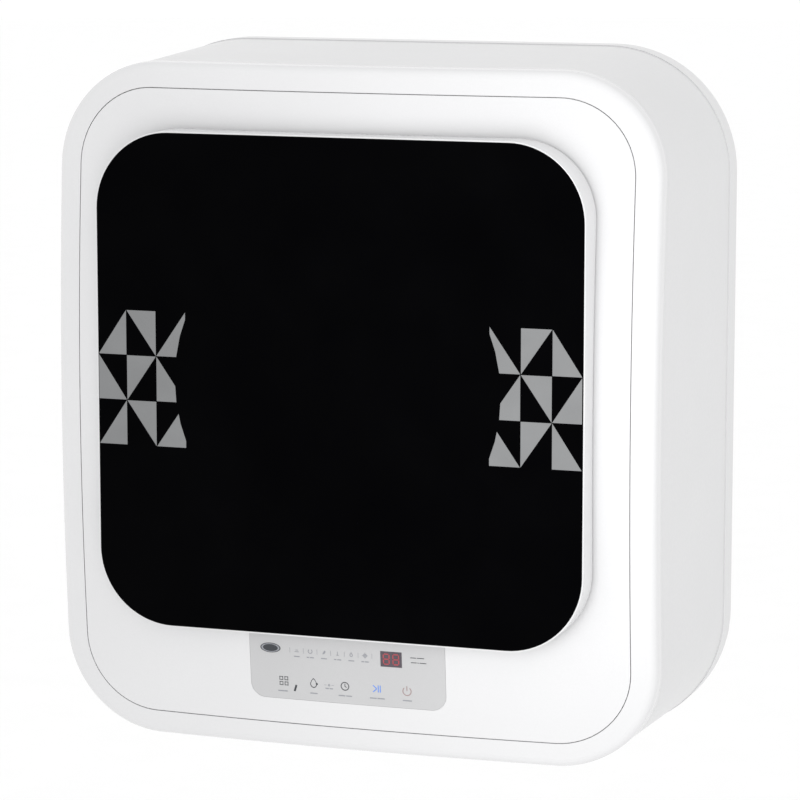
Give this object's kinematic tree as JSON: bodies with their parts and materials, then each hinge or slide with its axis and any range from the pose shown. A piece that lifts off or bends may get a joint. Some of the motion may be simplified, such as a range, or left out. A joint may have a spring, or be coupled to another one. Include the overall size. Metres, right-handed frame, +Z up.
{
  "type": "clothes dryer",
  "caption": "Compact wall-hung clothes dryer: crowned white front with a square black glass door, touch controls below it, belt-driven drum, heater, blower and lint filter",
  "frame": {"origin": "centre of the four wall bolts, on the wall plane behind the dryer", "axes": "+X right seen from the front, +Y towards the wall, +Z up"},
  "size_m": [0.55, 0.2584, 0.6],
  "materials": {
    "white_moulding": "glossy white moulded ABS",
    "white_enamel": "white baked enamel on sheet steel",
    "galvanised_steel": "hot-dip galvanised sheet steel with faint spangle",
    "drum_steel": "bright stainless steel sheet",
    "shaft_steel": "turned bright steel",
    "cast_housing": "die-cast aluminium",
    "motor_enamel": "dark baked enamel on a steel motor case",
    "black_plastic": "matt black moulded plastic",
    "grey_plastic": "satin grey moulded plastic",
    "duct_plastic": "natural moulded polypropylene",
    "black_glass": "toughened glass printed black on its back",
    "clear_bowl": "clear moulded bowl",
    "smoked_window": "smoked display window",
    "silver_film": "satin light grey printed film",
    "seal_rubber": "soft grey moulded rubber",
    "belt_rubber": "ribbed black rubber",
    "felt": "pressed wool felt",
    "filter_mesh": "fine woven nylon mesh",
    "heater_alloy": "heat-stained heater tube",
    "white_ceramic": "fired ceramic",
    "circuit_board": "green solder-masked laminate",
    "capacitor_case": "drawn aluminium can",
    "magnet_steel": "sintered ferrite magnet"
  },
  "bodies": {
    "cabinet": {"air_duct": "duct_plastic", "back_panel": "white_enamel", "bearing_housing": "cast_housing", "blower_housing": "duct_plastic", "board_case": "duct_plastic", "cabinet_shell": "white_enamel", "control_board": "circuit_board", "control_film": "silver_film", "cord_gland": "black_plastic", "cover_screws": "shaft_steel", "display_digits": "black_plastic", "display_window": "smoked_window", "door_gasket": "seal_rubber", "door_switch": "black_plastic", "drive_belt": "belt_rubber", "drum_bearings": "shaft_steel", "exhaust_collar": "grey_plastic", "front_bulkhead": "galvanised_steel", "front_fascia": "white_moulding", "front_felt": "felt", "front_ring": "white_moulding", "heater_element": "heater_alloy", "heater_housing": "galvanised_steel", "heater_insulators": "white_ceramic", "hinge_lugs": "shaft_steel", "idler_foot": "galvanised_steel", "latch_cup": "black_plastic", "latch_magnet": "magnet_steel", "main_board": "circuit_board", "motor_body": "motor_enamel", "motor_bracket": "galvanised_steel", "motor_capacitor": "capacitor_case", "rear_bulkhead": "galvanised_steel", "rear_felt": "felt", "rear_rim": "white_enamel", "rubber_spacers": "seal_rubber", "thermostats": "heater_alloy", "touch_springs": "heater_alloy", "wall_bracket": "galvanised_steel"},
    "door": {"door_glass": "black_glass", "door_frame": "white_moulding", "door_bowl": "clear_bowl", "door_clamp_ring": "grey_plastic", "hinge_leaves": "shaft_steel", "door_striker": "shaft_steel"},
    "drum": {"drum_shell": "drum_steel", "drum_front_lip": "drum_steel", "drum_back": "drum_steel", "drum_hub_shaft": "shaft_steel", "drum_baffle_1": "grey_plastic", "drum_baffle_2": "grey_plastic", "drum_baffle_3": "grey_plastic"},
    "rotor": {"motor_shaft": "shaft_steel", "motor_pulley": "cast_housing", "blower_wheel": "black_plastic"},
    "idler_arm_body": {"idler_arm": "galvanised_steel"},
    "idler_wheel": {"idler_pulley": "black_plastic"},
    "filter": {"lint_filter_frame": "grey_plastic", "lint_filter_mesh": "filter_mesh"},
    "plunger": {"switch_plunger": "black_plastic"}
  },
  "joints": [
    {"name": "door_hinge", "type": "hinge", "parent": "cabinet", "child": "door", "pos_m": [-0.207, -0.2485, 0.0255], "axis": [0, 0, -1], "range_deg": [0, 110]},
    {"name": "drum_spin", "type": "hinge", "parent": "cabinet", "child": "drum", "pos_m": [0, -0.13, 0.0255], "axis": [0, 1, 0], "continuous": true},
    {"name": "rotor_spin", "type": "hinge", "parent": "cabinet", "child": "rotor", "pos_m": [0.15, -0.1, -0.225], "axis": [0, 1, 0], "continuous": true},
    {"name": "idler_arm_pivot", "type": "hinge", "parent": "cabinet", "child": "idler_arm_body", "pos_m": [0.1, -0.1385, -0.264], "axis": [0, -1, 0], "range_deg": [0, 10], "stiffness_Nm_per_rad": 1.5, "springref_deg": -17.19},
    {"name": "idler_wheel_spin", "type": "hinge", "parent": "idler_arm_body", "child": "idler_wheel", "pos_m": [0.0386, -0.146, -0.23027], "axis": [0, 1, 0], "continuous": true},
    {"name": "filter_slide", "type": "slide", "parent": "cabinet", "child": "filter", "axis": [0, 0, -1], "range_m": [0, 0.07]},
    {"name": "switch_plunger_slide", "type": "slide", "parent": "cabinet", "child": "plunger", "axis": [0, 1, 0], "range_m": [0, 0.003], "stiffness_N_per_m": 150, "springref_m": -0.002}
  ],
  "couplings": [
    {"joint": "rotor_spin", "follows": "drum_spin", "ratio": 13.968},
    {"joint": "idler_wheel_spin", "follows": "drum_spin", "ratio": -11.103}
  ]
}
